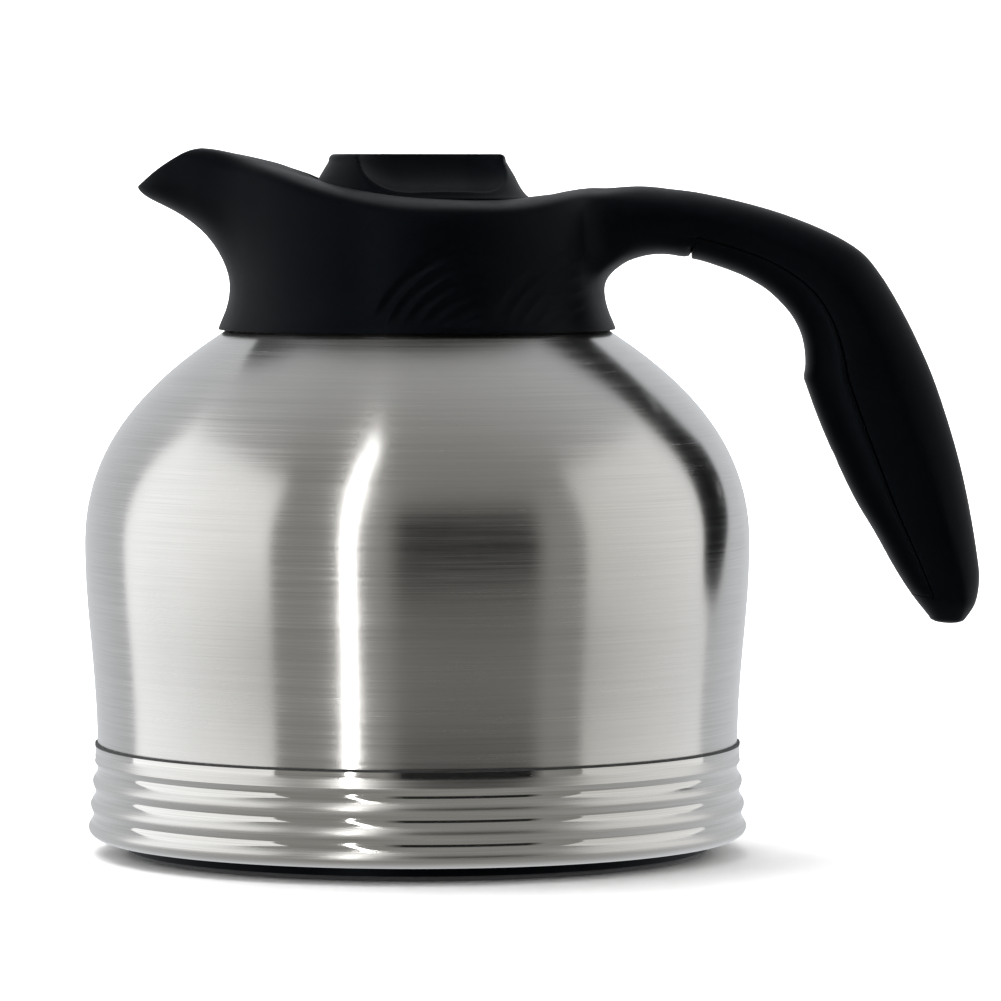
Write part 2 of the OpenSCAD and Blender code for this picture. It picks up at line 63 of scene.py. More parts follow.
def curve(p0, p1, p2, p3, count):
    """Points of a cubic curve, without its last one."""
    points = []
    for i in range(count):
        t = i / count
        weights = ((1 - t) ** 3, 3 * (1 - t) ** 2 * t, 3 * (1 - t) * t * t, t ** 3)
        points.append(tuple(sum(w * p[k] for w, p in zip(weights, (p0, p1, p2, p3))) for k in (0, 1)))
    return points


def corner(centre, radius, start, end, count):
    """Points of a round corner, from one angle in degrees to another."""
    points = []
    for i in range(count + 1):
        a = math.radians(start + (end - start) * i / count)
        points.append((centre[0] + radius * math.cos(a), centre[1] + radius * math.sin(a)))
    return points


def line(a, b, count):
    """Points of a straight line, without its last one."""
    return [tuple(a[k] + (b[k] - a[k]) * i / count for k in (0, 1)) for i in range(count)]


def smooth_step(t):
    t = max(0.0, min(1.0, t))
    return t * t * (3 - 2 * t)


def smooth_value(keys, values, x):
    """A smooth curve through values at rising keys, read at x, with no overshoot."""
    if x <= keys[0]:
        return values[0]
    if x >= keys[-1]:
        return values[-1]
    i = max(k for k in range(len(keys) - 1) if keys[k] <= x)
    steps = [(values[k + 1] - values[k]) / (keys[k + 1] - keys[k]) for k in range(len(keys) - 1)]

    def slope(k):
        if k in (0, len(keys) - 1):
            return 0.0 if k == 0 else steps[-1]
        a, b = steps[k - 1], steps[k]
        return 0.0 if a * b <= 0 else 2 * a * b / (a + b)

    width = keys[i + 1] - keys[i]
    t = (x - keys[i]) / width
    return ((1 + 2 * t) * (1 - t) ** 2 * values[i] + t * (1 - t) ** 2 * width * slope(i)
            + t * t * (3 - 2 * t) * values[i + 1] + t * t * (t - 1) * width * slope(i + 1))


# ---- Modelling helpers ----

def clear_selection():
    bpy.ops.object.select_all(action="DESELECT")


def edit(piece):
    """Opens one piece in edit mode and gives its mesh."""
    clear_selection()
    bpy.context.view_layer.objects.active = piece
    piece.select_set(True)
    bpy.ops.object.mode_set(mode="EDIT")
    return bmesh.from_edit_mesh(piece.data)


def leave_edit():
    bpy.ops.object.mode_set(mode="OBJECT")


def apply_modifier(piece, kind, **settings):
    clear_selection()
    bpy.context.view_layer.objects.active = piece
    piece.select_set(True)
    modifier = piece.modifiers.new(kind.lower(), kind)
    for name, value in settings.items():
        setattr(modifier, name, value)
    bpy.ops.object.modifier_apply(modifier=modifier.name)


def subdivide_surface(piece, levels):
    apply_modifier(piece, "SUBSURF", levels=levels, render_levels=levels)


def thicken(piece, wall):
    apply_modifier(piece, "SOLIDIFY", thickness=wall * MM, offset=-1.0, use_even_offset=True)


def soften_edges(piece, width, segments=2, angle=35):
    apply_modifier(piece, "BEVEL", width=width * MM, segments=segments, limit_method="ANGLE",
                   angle_limit=math.radians(angle))


def smooth_shading(piece, angle=35):
    clear_selection()
    bpy.context.view_layer.objects.active = piece
    piece.select_set(True)
    bpy.ops.object.shade_smooth_by_angle(angle=math.radians(angle))


def outside_out(piece):
    """Merges the points that coincide and turns every face outwards."""
    edit(piece)
    bpy.ops.mesh.select_all(action="SELECT")
    bpy.ops.mesh.remove_doubles(threshold=0.002 * MM)
    bpy.ops.mesh.normals_make_consistent(inside=False)
    leave_edit()


def lathe(name, outline):
    """Spins an outline of (radius, height) points once round the jug's axis."""
    clear_selection()
    bpy.ops.mesh.primitive_plane_add(size=MM)
    piece = bpy.context.object
    piece.name = name
    bpy.ops.object.mode_set(mode="EDIT")
    bpy.ops.mesh.merge(type="CENTER")
    bpy.ops.transform.translate(value=(outline[0][0] * MM, 0, outline[0][1] * MM))
    for (r0, z0), (r1, z1) in zip(outline, outline[1:]):
        move = ((r1 - r0) * MM, 0, (z1 - z0) * MM)
        bpy.ops.mesh.extrude_region_move(TRANSFORM_OT_translate={"value": move})
    bpy.ops.mesh.select_all(action="SELECT")
    bpy.ops.mesh.spin(steps=TURNED_STEPS, angle=TURN, center=(0, 0, 0), axis=(0, 0, 1))
    leave_edit()
    outside_out(piece)
    return piece


def start_ring(name, places):
    """A new piece: one loop of points at the given places, open in edit mode and selected."""
    clear_selection()
    bpy.ops.mesh.primitive_circle_add(vertices=len(places), radius=10 * MM)
    piece = bpy.context.object
    piece.name = name
    mesh = edit(piece)
    mesh.verts.ensure_lookup_table()
    for vert, place in zip(mesh.verts, places):
        vert.co = Vector(place) * MM
    bmesh.update_edit_mesh(piece.data)
    return piece, list(range(len(places)))


def spot(vert):
    return tuple(round(c, 7) for c in vert.co)


def extrude_ring(piece, ring, places):
    """Extrudes a loop of points and moves the new loop to its places."""
    mesh = bmesh.from_edit_mesh(piece.data)
    mesh.verts.ensure_lookup_table()
    bpy.ops.mesh.select_all(action="DESELECT")
    keys = [spot(mesh.verts[index]) for index in ring]
    for index in ring:
        mesh.verts[index].select = True
    mesh.select_flush(True)
    bpy.ops.mesh.extrude_edges_move()
    mesh = bmesh.from_edit_mesh(piece.data)
    mesh.verts.index_update()
    heirs = {spot(vert): vert for vert in mesh.verts if vert.select}
    new_ring = [heirs[key] for key in keys]
    for vert, place in zip(new_ring, places):
        vert.co = Vector(place) * MM
    indices = [vert.index for vert in new_ring]
    bmesh.update_edit_mesh(piece.data)
    return indices


def ring_loft(name, rings, capped=True):
    """One piece through a list of loops, each with the same number of points."""
    piece, ring = start_ring(name, rings[0])
    for places in rings[1:]:
        ring = extrude_ring(piece, ring, places)
    if capped:
        close_holes()
    leave_edit()
    outside_out(piece)
    return piece


def close_holes():
    bpy.ops.mesh.select_all(action="DESELECT")
    bpy.ops.mesh.select_non_manifold(extend=False)
    bpy.ops.mesh.edge_face_add()


def open_loop(mesh, near):
    """The points round an open edge, starting at the one nearest to a place."""
    start = min((v for v in mesh.verts if v.is_boundary), key=lambda v: (v.co - near).length)
    ring, last, vert = [start], None, start
    while True:
        edges = [e for e in vert.link_edges if e.is_boundary and e is not last]
        if last is None:
            edges.sort(key=lambda e: e.other_vert(vert).co.y)
        last = edges[0]
        vert = last.other_vert(vert)
        if vert is start:
            return ring
        ring.append(vert)


def open_ring(piece, near):
    """Indices of the points round an open edge, from the one nearest to a place towards positive y."""
    mesh = bmesh.from_edit_mesh(piece.data)
    mesh.verts.index_update()
    loop = open_loop(mesh, Vector(near) * MM)
    ring = [vert.index for vert in loop]
    return ring if loop[1].co.y >= 0 else ring[:1] + ring[:0:-1]


# ---- Materials ----

class Finish:
    """A procedural material: a Principled shader and short ways to add nodes to it."""

    def __init__(self, name, **settings):
        self.material = bpy.data.materials.new(name)
        self.material.use_nodes = True
        self.tree = self.material.node_tree
        self.shader = self.tree.nodes["Principled BSDF"]
        for socket, value in settings.items():
            self.shader.inputs[socket.replace("_", " ")].default_value = value
        self.place = self.node("ShaderNodeTexCoord").outputs["Object"]

    def node(self, kind, **settings):
        node = self.tree.nodes.new(kind)
        for name, value in settings.items():
            setattr(node, name, value)
        return node

    def link(self, source, target):
        self.tree.links.new(source, target)

    def maths(self, operation, first, second):
        node = self.node("ShaderNodeMath", operation=operation)
        for socket, value in zip(node.inputs, (first, second)):
            if isinstance(value, (int, float)):
                socket.default_value = value
            else:
                self.link(value, socket)
        return node.outputs[0]

    def noise(self, scale, detail=3.0, roughness=0.55, vector=None):
        node = self.node("ShaderNodeTexNoise")
        node.inputs["Scale"].default_value = scale
        node.inputs["Detail"].default_value = detail
        node.inputs["Roughness"].default_value = roughness
        self.link(vector or self.place, node.inputs["Vector"])
        return node.outputs["Fac"]

    def spread(self, source, low, high, start=0.3, end=0.7):
        """Turns a pattern into a number between low and high."""
        node = self.node("ShaderNodeMapRange")
        node.inputs["From Min"].default_value = start
        node.inputs["From Max"].default_value = end
        node.inputs["To Min"].default_value = low
        node.inputs["To Max"].default_value = high
        self.link(source, node.inputs["Value"])
        return node.outputs["Result"]

    def tint(self, source, dark, light):
        """Colours between dark and light, by a pattern."""
        node = self.node("ShaderNodeMix", data_type="RGBA")
        self.link(source, node.inputs["Factor"])
        node.inputs["A"].default_value = (*dark, 1)
        node.inputs["B"].default_value = (*light, 1)
        return node.outputs["Result"]

    def bump(self, source, depth, strength=1.0, under=None):
        node = self.node("ShaderNodeBump")
        node.inputs["Distance"].default_value = depth * MM
        node.inputs["Strength"].default_value = strength
        self.link(source, node.inputs["Height"])
        if under is not None:
            self.link(under, node.inputs["Normal"])
        return node.outputs["Normal"]

    def use(self, socket, source):
        self.link(source, self.shader.inputs[socket])

    def around(self, along, across):
        """Coordinates for marks that run round the axis: long round it, and narrow up the side."""
        split = self.node("ShaderNodeSeparateXYZ")
        self.link(self.place, split.inputs[0])
        x, y, z = split.outputs
        radius = self.maths("SQRT", self.maths("ADD", self.maths("MULTIPLY", x, x),
                                               self.maths("MULTIPLY", y, y)), 0.0)
        climb = self.maths("MULTIPLY", self.maths("SUBTRACT", z, radius), across)
        join = self.node("ShaderNodeCombineXYZ")
        for socket, source in zip(join.inputs, (self.maths("MULTIPLY", x, along),
                                                self.maths("MULTIPLY", y, along), climb)):
            self.link(source, socket)
        return join.outputs[0], z


def tangent_round_axis(finish):
    tangent = finish.node("ShaderNodeTangent", direction_type="RADIAL", axis="Z")
    finish.use("Tangent", tangent.outputs[0])


def brushed_steel():
    finish = Finish("brushed_steel", Metallic=1.0, Anisotropic=0.85, Anisotropic_Rotation=0.25)
    tangent_round_axis(finish)
    lines, _ = finish.around(22, 2600)
    streaks, _ = finish.around(6, 420)
    fine = finish.noise(1.0, 2.0, 0.6, lines)
    broad = finish.noise(1.0, 3.0, 0.6, streaks)
    handled = finish.noise(28, 5.0, 0.6)
    marks = finish.maths("ADD", finish.maths("MULTIPLY", fine, 0.6), finish.maths("MULTIPLY", broad, 0.4))
    finish.use("Base Color", finish.tint(marks, (0.44, 0.43, 0.415), (0.70, 0.69, 0.67)))
    wear = finish.spread(handled, -0.02, 0.03)
    finish.use("Roughness", finish.maths("ADD", finish.spread(marks, 0.17, 0.28), wear))
    finish.use("Normal", finish.bump(marks, 0.012, 0.6))
    return finish.material


def band_steel():
    """Brushed on the ribs and polished in the grooves between them."""
    finish = Finish("band_steel", Metallic=1.0, Anisotropic=0.6, Anisotropic_Rotation=0.25)
    tangent_round_axis(finish)
    lines, height = finish.around(22, 2600)
    fine = finish.noise(1.0, 2.0, 0.6, lines)
    rise = finish.maths("SUBTRACT", height, RIB_Z * MM)
    phase = finish.maths("MULTIPLY", rise, TURN / (RIDGE_PITCH * MM))
    rib = finish.spread(finish.maths("COSINE", phase, 0.0), 0.0, 1.0, -0.5, 0.4)
    finish.use("Base Color", finish.tint(fine, (0.46, 0.45, 0.43), (0.72, 0.71, 0.69)))
    rough = finish.maths("ADD", finish.maths("MULTIPLY", rib, 0.24), finish.spread(fine, 0.05, 0.12))
    finish.use("Roughness", rough)
    finish.use("Normal", finish.bump(finish.maths("MULTIPLY", fine, rib), 0.01, 0.6))
    return finish.material


def drawn_steel(name, dark, light, low, high):
    """Pressed or turned steel with faint tool marks round the axis."""
    finish = Finish(name, Metallic=1.0, Anisotropic=0.3, Anisotropic_Rotation=0.25)
    tangent_round_axis(finish)
    lines, _ = finish.around(15, 1500)
    marks = finish.noise(1.0, 3.0, 0.6, lines)
    spots = finish.noise(180, 4.0)
    finish.use("Base Color", finish.tint(spots, dark, light))
    finish.use("Roughness", finish.spread(marks, low, high))
    finish.use("Normal", finish.bump(marks, 0.006, 0.5))
    return finish.material


def moulded_plastic(name, dark, light, low, high, shine=0.5, grain=2600, depth=0.012):
    """Moulded plastic with a fine spark texture and a slightly uneven gloss."""
    finish = Finish(name, Specular_IOR_Level=shine, Specular_Tint=(0.7, 0.85, 1.0, 1))
    texture = finish.noise(grain, 2.0, 0.5)
    flow = finish.noise(35, 3.0, 0.5)
    dust = finish.noise(420, 4.0, 0.7)
    finish.use("Base Color", finish.tint(flow, dark, light))
    gloss = finish.maths("ADD", finish.spread(flow, low, high), finish.spread(dust, -0.02, 0.03))
    finish.use("Roughness", gloss)
    finish.use("Normal", finish.bump(texture, depth, 0.7))
    return finish.material


def soft_rubber(name, dark, light, roughness):
    finish = Finish(name)
    grain = finish.noise(1400, 4.0, 0.6)
    cloud = finish.noise(120, 3.0)
    finish.use("Base Color", finish.tint(cloud, dark, light))
    finish.use("Roughness", finish.spread(grain, roughness - 0.06, roughness + 0.06))
    finish.use("Normal", finish.bump(grain, 0.03, 0.6))
    return finish.material


def clear_silicone():
    finish = Finish("silicone", Subsurface_Weight=0.35, Subsurface_Scale=0.002)
    cloud = finish.noise(260, 3.0)
    grain = finish.noise(1800, 2.0)
    finish.use("Base Color", finish.tint(cloud, (0.62, 0.62, 0.59), (0.76, 0.76, 0.73)))
    finish.use("Roughness", finish.spread(cloud, 0.36, 0.46))
    finish.use("Normal", finish.bump(grain, 0.02, 0.5))
    return finish.material


def foam():
    finish = Finish("foam", Subsurface_Weight=0.2, Subsurface_Scale=0.002)
    cells = finish.node("ShaderNodeTexVoronoi")
    cells.inputs["Scale"].default_value = 900
    finish.link(finish.place, cells.inputs["Vector"])
    finish.use("Base Color", finish.tint(cells.outputs["Distance"], (0.50, 0.45, 0.30), (0.82, 0.77, 0.60)))
    finish.use("Roughness", finish.spread(cells.outputs["Distance"], 0.8, 0.95))
    finish.use("Normal", finish.bump(cells.outputs["Distance"], 0.3, 0.8))
    return finish.material


# ---- Steel vessel and base band ----

SHOULDER = (49.3, 138.4)
BELLY = (87.6, 81.9)
SEAM = (84.4, 29)


def make_outer_shell():
    outline = ([(NECK_R, NECK_TOP), (NECK_R, 152)]
               + curve((NECK_R, 149), (NECK_R, 143), (43, 142.4), SHOULDER, 10)
               + curve(SHOULDER, (75.6, 121.8), (BELLY[0], BELLY[1] + 22), BELLY, 44)
               + curve(BELLY, (BELLY[0], BELLY[1] - 18), (SEAM[0] + 0.3, 50), SEAM, 26)
               + [SEAM, (SEAM[0], 26.5), (SEAM[0], 24.6)])
    shell = lathe("steel_shell", outline)
    thicken(shell, SHELL_T)
    smooth_shading(shell)
    return shell


def band_wave(z):
    """Radius of the ridged band at a height."""
    return 86.35 - 0.095 * (z - RIB_Z) + RIDGE_H * math.cos(TURN * (z - RIB_Z) / RIDGE_PITCH)


def make_base_band():
    top = 23.4
    steps = 64
    ridges = [top - (top - RIB_Z) * i / steps for i in range(steps + 1)]
    outline = ([(85.0, 28.6), (85.05, 28.3), (85.05, 24.9), (85.2, 24.4)]
               + [(band_wave(z), z) for z in ridges]
               + curve((band_wave(RIB_Z), RIB_Z - 0.1), (86.8, 5.6), (85.4, 4), (82, 4), 10)
               + [(82, 4), (78, 4), (74, 4)])
    band = lathe("ridged_base_band", outline)
    thicken(band, BAND_T)
    smooth_shading(band)
    return band


# ---- Knob ----

GRIP_HALF = 6
SCOOP_HALF = 9
SCOOP_R = 18
SCOOP_DEPTH = 15.6
SCOOP_LIFT = 5.6


def scoop_height(x, y):
    """Height of the two scoops' surface over a place on the knob, or None beside them."""
    c, s = math.cos(-KNOB_REST_ANGLE), math.sin(-KNOB_REST_ANGLE)
    along, across = x * c - y * s, abs(x * s + y * c)
    gap = math.hypot(max(0.0, abs(along) - SCOOP_HALF), across - GRIP_HALF - SCOOP_R)
    if gap >= SCOOP_R:
        return None
    return KNOB_TOP_Z + SCOOP_LIFT - SCOOP_DEPTH * math.sqrt(1 - (gap / SCOOP_R) ** 2)


def press_scoops(knob):
    """Presses the knob's top and side down to the scoops, with a soft lip."""
    lip = 0.6
    mesh = edit(knob)
    for vert in mesh.verts:
        x, y, z = vert.co / MM
        in_socket = math.hypot(x, y) < SOCKET_R + 0.25 and z < SOCKET_TOP_Z + 0.3
        if z < KNOB_FOOT_Z + 0.2 or in_socket:
            continue
        floor = scoop_height(x, y)
        if floor is not None:
            blend = max(0.0, lip - abs(floor - z)) / lip
            vert.co.z = (min(floor, z) - blend * blend * lip * 0.25) * MM
    bmesh.update_edit_mesh(knob.data)
    leave_edit()


SOCKET_R = 4.95
SOCKET_TOP_Z = 177.9


def make_knob():
    outline = ([(0, KNOB_TOP_Z)] + line((0.35, KNOB_TOP_Z), (21.8, KNOB_TOP_Z), 50)
               + corner((21.8, KNOB_TOP_Z - 1.5), 1.5, 90, 8, 8)
               + line((23.4, 182), (25.8, 178), 12)
               + curve((25.8, 178), (26.7, 176), (28, 173.5), (29.7, 172.5), 14)
               + [(29.9, 172.35), (30, 172.15), (29.9, 171.98), (29.6, KNOB_FOOT_Z), (15, KNOB_FOOT_Z)]
               + [(SOCKET_R, KNOB_FOOT_Z), (SOCKET_R, SOCKET_TOP_Z), (0, SOCKET_TOP_Z)])
    knob = lathe("twist_knob", outline)
    press_scoops(knob)
    smooth_shading(knob, 40)
    return knob


# ---- Collar with spout and handle ----

# Columns of the collar by their angle from the spout, for one side. The other side mirrors them.
HALF_COLUMNS = (4, 8, 12, 16, 20, 25, 30, 36, 43, 51, 60, 70, 80, 90, 100, 110, 120, 130, 140, 150,
                158, 165, 172)
COLUMNS = (0,) + HALF_COLUMNS + (180,) + tuple(-a for a in reversed(HALF_COLUMNS))

# Outlines (radius, height) of the collar at some angles from the spout, from the waist up to the
# opening: four points up the outside, the crease, two points over the rim, and two to the opening.
GUIDE_ANGLES = (0, 4, 8, 12, 24, 40, 60, 90, 120, 150, 180)
GUIDES = (
    ((49.6, 153.5), (54.9, 163), (64, 169.3), (72.2, 172.4), (74.7, 175), (66, 180.2), (57.3, 185.7),
     (47, 184.2), (34.8, 181.3)),
    ((49.6, 153.5), (54.8, 163), (63.6, 169.3), (71.4, 172.9), (73.1, 176.4), (66.2, 180.6), (57.4, 185.8),
     (47, 184.1), (34.8, 181.2)),
    ((49.6, 153.5), (54.4, 162.8), (62, 169), (68.8, 174), (69.7, 179.9), (64.5, 183), (57.3, 185.9),
     (47, 183.9), (34.8, 181)),
    ((49.6, 153.5), (53.6, 162.5), (59.8, 168.4), (64.4, 176), (64.6, 183.5), (60.8, 185.3), (56.8, 185.9),
     (47, 183.7), (34.8, 180.7)),
    ((49.5, 153.5), (51.1, 161), (53, 167), (54.2, 172.5), (54, 178.4), (52.4, 181.4), (49, 182.8),
     (42, 181.2), (34.8, 179.6)),
    ((49.6, 153), (49.8, 158.5), (50, 164), (50.3, 170), (50.1, 175.7), (49, 178.2), (46.8, 179.2),
     (41, 178.8), (34.8, 177.3)),
    ((49.5, 152.5), (49.5, 157), (49.4, 162), (49.2, 167), (48.9, 171.4), (48.1, 173.4), (46.4, 174.5),
     (41, 175.2), (34.8, 175.2)),
    ((49.5, 152), (49.5, 156), (49.4, 160), (49.2, 163.6), (49, 166.6), (48.4, 168.8), (46.6, 170.2),
     (41, 171.9), (34.8, 172.9)),
    ((49.5, 152), (49.5, 156), (49.4, 160), (49.2, 163.6), (49, 166.4), (48.5, 168.6), (46.8, 170.1),
     (41, 171.5), (34.8, 172.1)),
    ((49.6, 151.7), (49.7, 156), (49.7, 160.6), (49.6, 165.4), (49.4, 169.8), (48.8, 172.3), (46.8, 173.3),
     (41, 173.4), (34.8, 172.8)),
    ((49.8, 151.5), (49.9, 156), (49.9, 161.5), (49.9, 167), (49.9, 172.3), (49.5, 175.1), (46.6, 175.5),
     (41, 174.7), (34.8, 173.4)),
)
FOOT_ROWS = ((50.2, 138.2), (51.9, 137.85), (52.4, 137.8), (52.45, 138.2), (51.9, 139.7), (50.2, 143.4),
             (49.3, 147.8))
INNER_ROWS = ((33.5, 168.7), (WELL_R, 168.5), (WELL_R, 165.2), (WELL_R, 161.9), (47, 161.6), (46.9, 147),
              (48.2, 142.6))
CREASE_ROW = len(FOOT_ROWS) + 4
RIM_ROW = CREASE_ROW + 2
WINDOW_ROW = len(FOOT_ROWS) + len(GUIDES[0]) + 2


def column_outline(angle):
    """The collar's whole outline at one angle: up the outside, down the well and back under the skin."""
    away = abs(angle)
    rows = list(FOOT_ROWS)
    for row in range(len(GUIDES[0])):
        rows.append(tuple(smooth_value(GUIDE_ANGLES, [g[row][k] for g in GUIDES], away) for k in (0, 1)))
    rim_r, rim_z = rows[-1]
    rows.append((rim_r - 1.4, rim_z - 0.9))
    return rows + list(INNER_ROWS)


def window_angle(angle):
    """Inside the collar the columns next to the spout spread to the pouring window's width."""
    return angle * (1 + 0.9 * math.exp(-(angle / 35) ** 2))


def collar_rings():
    outlines = [column_outline(a) for a in COLUMNS]
    rings = []
    for row in range(len(outlines[0])):
        ring = []
        for angle, outline in zip(COLUMNS, outlines):
            radius, height = outline[row]
            spread = window_angle(angle) if row > WINDOW_ROW - 3 and row <= WINDOW_ROW + 1 else angle
            a = math.radians(180 - spread)
            ring.append((radius * math.cos(a), radius * math.sin(a), height))
        rings.append(ring)
    return rings


# The lowest place of the spout's mouth, and the lowest of the handle's root.
MOUTH_LOW = (-74, 0, 174)
ROOT_LOW = (50, 0, 151.5)

# Channel through the spout: x, floor, roof and width, from just inside the mouth to the window.
CHANNEL = ((-63, 172.4, 184, 21), (-57, 168.6, 182.8, 28), (-50, 165, 181.6, 31), (-44.5, 164, 177.4, 31.5),
           (-40, 163.6, 172.4, 30), (-37.6, 163.4, 169.8, 28.5))

# Handle stations: outer x, outer z, inner x, inner z and width. They are the CAD's, except that the outer
# edge of stations 2 and 3 is raised to run level with the collar's rim.
HANDLE = (
    (30, 172.3, 30, 164, 54), (46, 174.6, 47.6, 150.8, 42), (56.7, 175.8, 54.6, 155.6, 37),
    (64.5, 175.2, 62.8, 157.6, 34), (73.9, 173.9, 72.4, 156.4, 31), (85.5, 171.4, 79.3, 154.4, 29),
    (96.8, 168.1, 86.2, 151.7, 28), (108.4, 163.4, 92.1, 148.1, 28), (116.8, 158.3, 96.6, 143.9, 28),
    (121.9, 152.3, 99.6, 139.8, 28), (126.5, 144.9, 101.5, 135.1, 28), (131.3, 135.6, 102.2, 129.4, 28),
    (135.9, 125.1, 101.7, 125.1, 28), (140, 113, 105.6, 114.4, 28), (143.3, 101.3, 110, 104.2, 28),
    (145.8, 89.5, 115.3, 93.2, 27.5), (147.6, 78.6, 120.8, 84, 26.5), (148.2, 72, 125.6, 75.4, 25),
    (147.2, 65.8, 130.2, 68.2, 22), (144.6, 61.6, 135, 62.1, 15),
)
STOP_STATION = 12
COVER_FIRST = 4
COVER_LAST = 18
SCREW_STATIONS = (7, 14)

# Shares of the handle's depth and width: the parting, its gap, and the tongue that enters the cover.
COVER_PART = 0.32
PARTING = 0.006
TONGUE_SHARE = 0.68
TONGUE_RISE = 0.1
RECESS_SHARE = 0.985

# The section's shape: its roundness, and how deep its widest place lies along the handle.
SECTION_POWER = 0.72
RIDGE_STATIONS = (2, 9, 14, 19)
RIDGE_DEPTHS = (0.66, 0.6, 0.7, 0.82)


def handle_station(t):
    """Handle sizes at a fractional station, on a smooth curve through the stations."""
    i = min(int(t), len(HANDLE) - 2)
    f = t - i
    a, b, c, d = (HANDLE[max(0, min(len(HANDLE) - 1, i + k))] for k in (-1, 0, 1, 2))
    values = []
    for k in range(5):
        before = (c[k] - a[k]) / 2
        after = (d[k] - b[k]) / 2
        if k in (2, 3) and i == STOP_STATION:
            before = c[k] - b[k]
        if k in (2, 3) and i == STOP_STATION - 1:
            after = c[k] - b[k]
        values.append((1 + 2 * f) * (1 - f) ** 2 * b[k] + f * (1 - f) ** 2 * before
                      + f * f * (3 - 2 * f) * c[k] + f * f * (f - 1) * after)
    return values


def rounding(x, power):
    return math.copysign(abs(x) ** power, x)


def section_side(u, ridge):
    """Share of the half width at depth u: widest at a soft ridge, and drawn in on both sides of it."""
    if u < ridge:
        return 1 - 0.09 * (ridge - u) / ridge
    return 1 - 0.16 * ((u - ridge) / (1 - ridge)) ** 1.3


def handle_place(t, u, v):
    """A place in the handle: depth u from inside to outside, and v from -1 to 1 across its width."""
    outer_x, outer_z, inner_x, inner_z, width = handle_station(t)
    return (inner_x + (outer_x - inner_x) * u, v * width / 2, inner_z + (outer_z - inner_z) * u)


def section_uv(t, angle, inset=0.0):
    """Depth and width of the rounded section at an angle from its inner edge, drawn in by an inset."""
    outer_x, outer_z, inner_x, inner_z, width = handle_station(t)
    depth = math.hypot(outer_x - inner_x, outer_z - inner_z)
    u = 0.5 - (0.5 - inset / depth) * rounding(math.cos(angle), SECTION_POWER)
    v = (1 - 2 * inset / width) * rounding(math.sin(angle), SECTION_POWER)
    ridge = smooth_value(RIDGE_STATIONS, RIDGE_DEPTHS, t)
    return u, v * section_side(u, ridge)


def handle_ring(t, count, recessed=False):
    """Points round the handle, the first at its inner edge. A recess makes room for the cover."""
    ring = []
    for i in range(count):
        u, v = section_uv(t, TURN * i / count)
        if recessed and u < COVER_PART + PARTING:
            tongue = abs(v) < TONGUE_SHARE
            u = COVER_PART - TONGUE_RISE if tongue else COVER_PART + PARTING
            v *= RECESS_SHARE
        ring.append(handle_place(t, u, v))
    return ring


# Stations where the coarse cage and the whole handle end.
CAGE_END = 3.4
HANDLE_END = 19.0


def cage_collar():
    """The collar as a coarse cage, with its mouth, pouring channel and the handle's root."""
    rings = collar_rings()
    piece, ring = start_ring("collar_and_handle", rings[0])
    for places in rings[1:]:
        ring = extrude_ring(piece, ring, places)
    mesh = bmesh.from_edit_mesh(piece.data)
    bpy.ops.mesh.select_all(action="DESELECT")
    bpy.ops.mesh.select_non_manifold(extend=False)
    bpy.ops.mesh.bridge_edge_loops()
    mesh = bmesh.from_edit_mesh(piece.data)
    mesh.verts.index_update()
    count = len(COLUMNS)
    column_of = {v.index: COLUMNS[v.index % count] for v in mesh.verts}
    row_of = {v.index: v.index // count for v in mesh.verts}
    bpy.ops.mesh.select_mode(type="FACE")
    bpy.ops.mesh.select_all(action="DESELECT")
    mark_lip(mesh, column_of, row_of)
    bpy.ops.mesh.inset(thickness=1.5 * MM, depth=0)
    bpy.ops.mesh.delete(type="FACE")
    make_channel(piece)
    open_window(piece)
    grow_handle_root(piece)
    leave_edit()
    outside_out(piece)
    return piece


def mark_lip(mesh, column_of, row_of):
    """Selects the faces of the spout's slanted front, which become its mouth."""
    rows = range(CREASE_ROW, RIM_ROW + 1)
    for face in mesh.faces:
        if all(abs(column_of[v.index]) <= 12 and row_of[v.index] in rows for v in face.verts):
            face.select = True
    bmesh.update_edit_mesh(bpy.context.object.data)


def channel_ring(station, count):
    x, floor, roof, width = station
    places = []
    for i in range(count):
        a = TURN * i / count
        places.append((x, width / 2 * rounding(math.sin(a), 0.75),
                       (floor + roof) / 2 - (roof - floor) / 2 * rounding(math.cos(a), 0.75)))
    return places


def make_channel(piece):
    """Carries the mouth's open edge inwards as a channel, down to the pouring window."""
    bpy.ops.mesh.select_mode(type="VERT")
    ring = open_ring(piece, MOUTH_LOW)
    for station in CHANNEL:
        ring = extrude_ring(piece, ring, channel_ring(station, len(ring)))


def open_window(piece):
    """Opens the well's wall to the channel and joins the two edges."""
    mesh = bmesh.from_edit_mesh(piece.data)
    bpy.ops.mesh.select_mode(type="FACE")
    bpy.ops.mesh.select_all(action="DESELECT")
    for face in mesh.faces:
        centre = face.calc_center_median() / MM
        behind = abs(math.hypot(centre.x, centre.y) - WELL_R) < 0.5
        if behind and centre.x < 0 and abs(centre.y) < 13 and 161.9 < centre.z < 168.5:
            face.select = True
    bmesh.update_edit_mesh(piece.data)
    bpy.ops.mesh.delete(type="FACE")
    bpy.ops.mesh.select_mode(type="EDGE")
    bpy.ops.mesh.select_all(action="DESELECT")
    bpy.ops.mesh.select_non_manifold(extend=False)
    bpy.ops.mesh.bridge_edge_loops()


